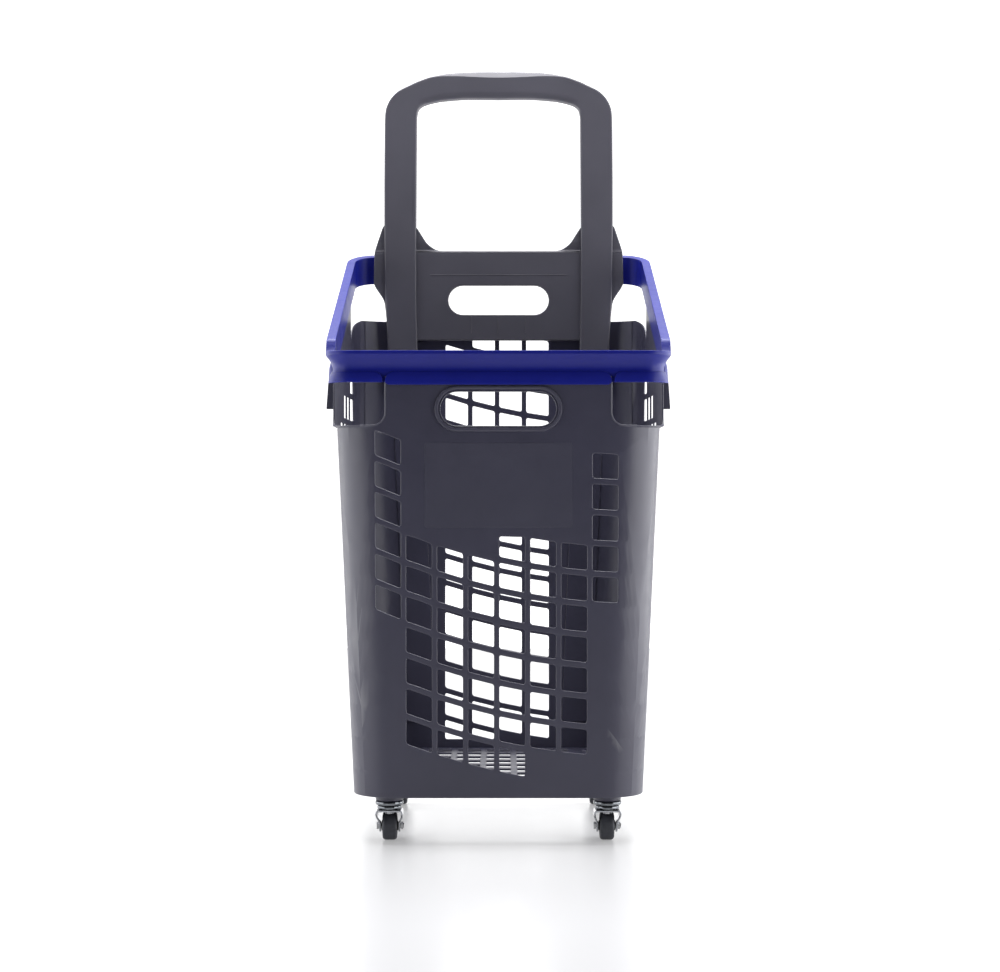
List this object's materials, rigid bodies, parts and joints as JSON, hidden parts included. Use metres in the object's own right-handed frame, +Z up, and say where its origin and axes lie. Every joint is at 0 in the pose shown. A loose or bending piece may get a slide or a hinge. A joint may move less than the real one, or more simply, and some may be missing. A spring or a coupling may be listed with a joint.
{
  "type": "shopping basket",
  "caption": "Tall rolling shopping basket: latticed plastic tub with a sloping rim frame, an upright push handle and swivel casters.",
  "frame": {"origin": "on the floor, under the middle of the basket's box", "axes": "+Z up, -Y towards the front (the low side of the rim), +Y towards the push handle, +X to the right seen from the front"},
  "size_m": [0.426, 0.44, 1.0142],
  "materials": {
    "tub_plastic": "dark charcoal polypropylene, semi-matt with a fine moulded texture",
    "rim_plastic": "deep navy blue polypropylene, semi-gloss",
    "chrome_steel": "bright chromed pressed steel",
    "zinc_steel": "zinc-plated steel",
    "hub_plastic": "black moulded nylon",
    "tyre_rubber": "dark grey rubber tread"
  },
  "bodies": {
    "root": {"tub": "tub_plastic", "rim_frame": "rim_plastic", "push_handle": "tub_plastic", "handle_screw_upper_left": "zinc_steel", "handle_screw_upper_right": "zinc_steel", "handle_screw_lower_left": "zinc_steel", "handle_screw_lower_right": "zinc_steel", "caster_front_left_stem_bolt": "zinc_steel", "caster_front_left_washer": "zinc_steel", "caster_front_left_upper_race": "chrome_steel", "caster_front_right_stem_bolt": "zinc_steel", "caster_front_right_washer": "zinc_steel", "caster_front_right_upper_race": "chrome_steel", "caster_rear_left_stem_bolt": "zinc_steel", "caster_rear_left_washer": "zinc_steel", "caster_rear_left_upper_race": "chrome_steel", "caster_rear_right_stem_bolt": "zinc_steel", "caster_rear_right_washer": "zinc_steel", "caster_rear_right_upper_race": "chrome_steel"},
    "swivel_front_left": {"caster_front_left_lower_race": "chrome_steel", "caster_front_left_fork": "chrome_steel", "caster_front_left_axle_bolt": "zinc_steel", "caster_front_left_axle_nut": "zinc_steel"},
    "wheel_front_left": {"caster_front_left_wheel_hub": "hub_plastic", "caster_front_left_tyre": "tyre_rubber"},
    "swivel_front_right": {"caster_front_right_lower_race": "chrome_steel", "caster_front_right_fork": "chrome_steel", "caster_front_right_axle_bolt": "zinc_steel", "caster_front_right_axle_nut": "zinc_steel"},
    "wheel_front_right": {"caster_front_right_wheel_hub": "hub_plastic", "caster_front_right_tyre": "tyre_rubber"},
    "swivel_rear_left": {"caster_rear_left_lower_race": "chrome_steel", "caster_rear_left_fork": "chrome_steel", "caster_rear_left_axle_bolt": "zinc_steel", "caster_rear_left_axle_nut": "zinc_steel"},
    "wheel_rear_left": {"caster_rear_left_wheel_hub": "hub_plastic", "caster_rear_left_tyre": "tyre_rubber"},
    "swivel_rear_right": {"caster_rear_right_lower_race": "chrome_steel", "caster_rear_right_fork": "chrome_steel", "caster_rear_right_axle_bolt": "zinc_steel", "caster_rear_right_axle_nut": "zinc_steel"},
    "wheel_rear_right": {"caster_rear_right_wheel_hub": "hub_plastic", "caster_rear_right_tyre": "tyre_rubber"}
  },
  "joints": [
    {"name": "front_left_swivel", "type": "hinge", "parent": "root", "child": "swivel_front_left", "pos_m": [-0.134, -0.155, 0.042], "axis": [0, 0, 1], "continuous": true},
    {"name": "front_left_roll", "type": "hinge", "parent": "swivel_front_left", "child": "wheel_front_left", "pos_m": [-0.134, -0.142, 0.0175], "axis": [1, 0, 0], "continuous": true},
    {"name": "front_right_swivel", "type": "hinge", "parent": "root", "child": "swivel_front_right", "pos_m": [0.134, -0.155, 0.042], "axis": [0, 0, 1], "continuous": true},
    {"name": "front_right_roll", "type": "hinge", "parent": "swivel_front_right", "child": "wheel_front_right", "pos_m": [0.134, -0.142, 0.0175], "axis": [1, 0, 0], "continuous": true},
    {"name": "rear_left_swivel", "type": "hinge", "parent": "root", "child": "swivel_rear_left", "pos_m": [-0.134, 0.145, 0.042], "axis": [0, 0, 1], "continuous": true},
    {"name": "rear_left_roll", "type": "hinge", "parent": "swivel_rear_left", "child": "wheel_rear_left", "pos_m": [-0.134, 0.158, 0.0175], "axis": [1, 0, 0], "continuous": true},
    {"name": "rear_right_swivel", "type": "hinge", "parent": "root", "child": "swivel_rear_right", "pos_m": [0.134, 0.145, 0.042], "axis": [0, 0, 1], "continuous": true},
    {"name": "rear_right_roll", "type": "hinge", "parent": "swivel_rear_right", "child": "wheel_rear_right", "pos_m": [0.134, 0.158, 0.0175], "axis": [1, 0, 0], "continuous": true}
  ]
}
